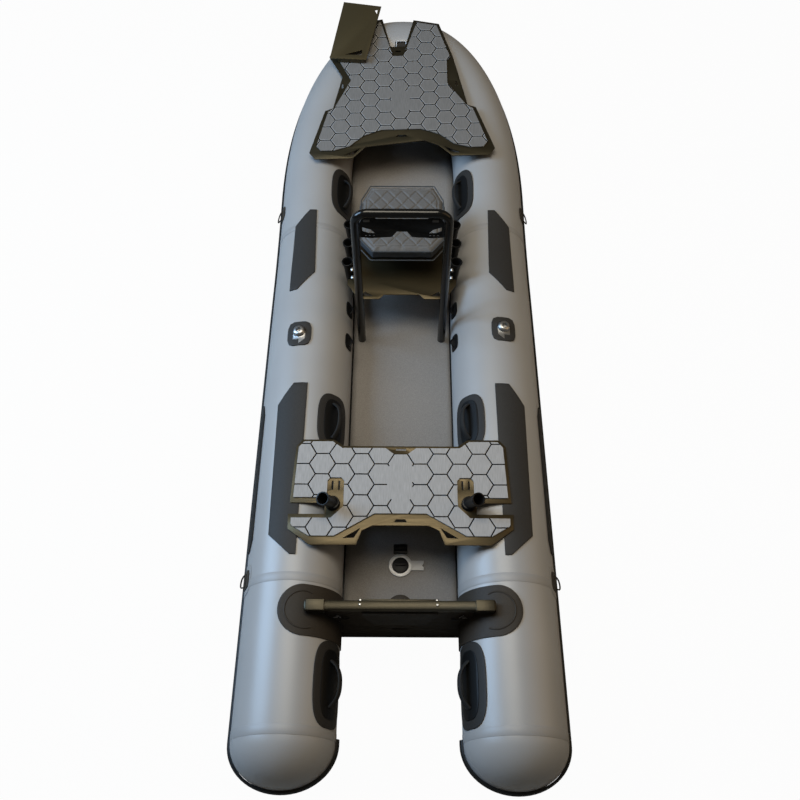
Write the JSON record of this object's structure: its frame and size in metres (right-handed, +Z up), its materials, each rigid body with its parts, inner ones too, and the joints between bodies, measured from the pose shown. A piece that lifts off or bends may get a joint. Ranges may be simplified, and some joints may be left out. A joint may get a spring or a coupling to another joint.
{
  "type": "inflatable fishing kayak",
  "caption": "Inflatable kayak with air tubes joined at the bow, an air floor, padded deck plates, a swivel seat with a back hoop, rod holders and a motor transom.",
  "frame": {"origin": "centre of the bounding box at its lowest face, on the ground the hull rests on", "axes": "+Y towards the bow, +X to starboard, +Z up"},
  "size_m": [1.1168, 3.4292, 0.892],
  "materials": {
    "bronze_plate": "satin",
    "chrome": "polished",
    "floor_grey": "matte",
    "foam_grey": "matte",
    "moulded_black": "satin",
    "pvc_dark": "matte",
    "pvc_grey": "satin",
    "rubber_black": "matte",
    "seat_vinyl": "matte",
    "tube_black": "gloss"
  },
  "bodies": {
    "hull": {"backrest_panel": "moulded_black", "bow_mount_plate": "bronze_plate", "bow_towing_ring": "pvc_dark", "carry_handle_front_port": "rubber_black", "carry_handle_front_starboard": "rubber_black", "carry_handle_middle_port": "rubber_black", "carry_handle_middle_starboard": "rubber_black", "carry_handle_rear_port": "rubber_black", "carry_handle_rear_starboard": "rubber_black", "chafe_strip_front_port": "pvc_dark", "chafe_strip_front_starboard": "pvc_dark", "chafe_strip_rear_port": "pvc_dark", "chafe_strip_rear_starboard": "pvc_dark", "d_ring_front_port": "pvc_dark", "d_ring_front_starboard": "pvc_dark", "d_ring_rear_port": "pvc_dark", "d_ring_rear_starboard": "pvc_dark", "floor_drain_patch": "pvc_dark", "floor_panel": "floor_grey", "floor_valve_cap": "rubber_black", "floor_valve_latch": "moulded_black", "floor_valve_ring": "chrome", "front_deck_pad": "foam_grey", "front_deck_plate": "bronze_plate", "oarlock_socket_port": "moulded_black", "oarlock_socket_starboard": "moulded_black", "rear_deck_pad": "foam_grey", "rear_deck_plate": "bronze_plate", "rear_rod_holder_port": "moulded_black", "rear_rod_holder_starboard": "moulded_black", "rod_rack_port": "moulded_black", "rod_rack_starboard": "moulded_black", "rub_strake_port": "rubber_black", "rub_strake_starboard": "rubber_black", "seat_frame": "tube_black", "seat_platform": "bronze_plate", "seat_swivel_base": "moulded_black", "side_panel_port": "pvc_dark", "side_panel_starboard": "pvc_dark", "tie_loop_aft_port": "rubber_black", "tie_loop_aft_starboard": "rubber_black", "tie_loop_fore_port": "rubber_black", "tie_loop_fore_starboard": "rubber_black", "transom_bar": "bronze_plate", "transom_board": "pvc_grey", "transom_front_plate": "bronze_plate", "transom_motor_pad": "moulded_black", "transom_wrap_port": "pvc_dark", "transom_wrap_starboard": "pvc_dark", "tube_bow": "pvc_grey", "tube_port": "pvc_grey", "tube_starboard": "pvc_grey"},
    "seat": {"seat_swivel_head": "moulded_black", "seat_cushion": "seat_vinyl"}
  },
  "joints": [
    {"name": "seat_swivel", "type": "hinge", "parent": "hull", "child": "seat", "pos_m": [0, 0.39828, 0.3503], "axis": [0, 0, 1], "continuous": true}
  ]
}
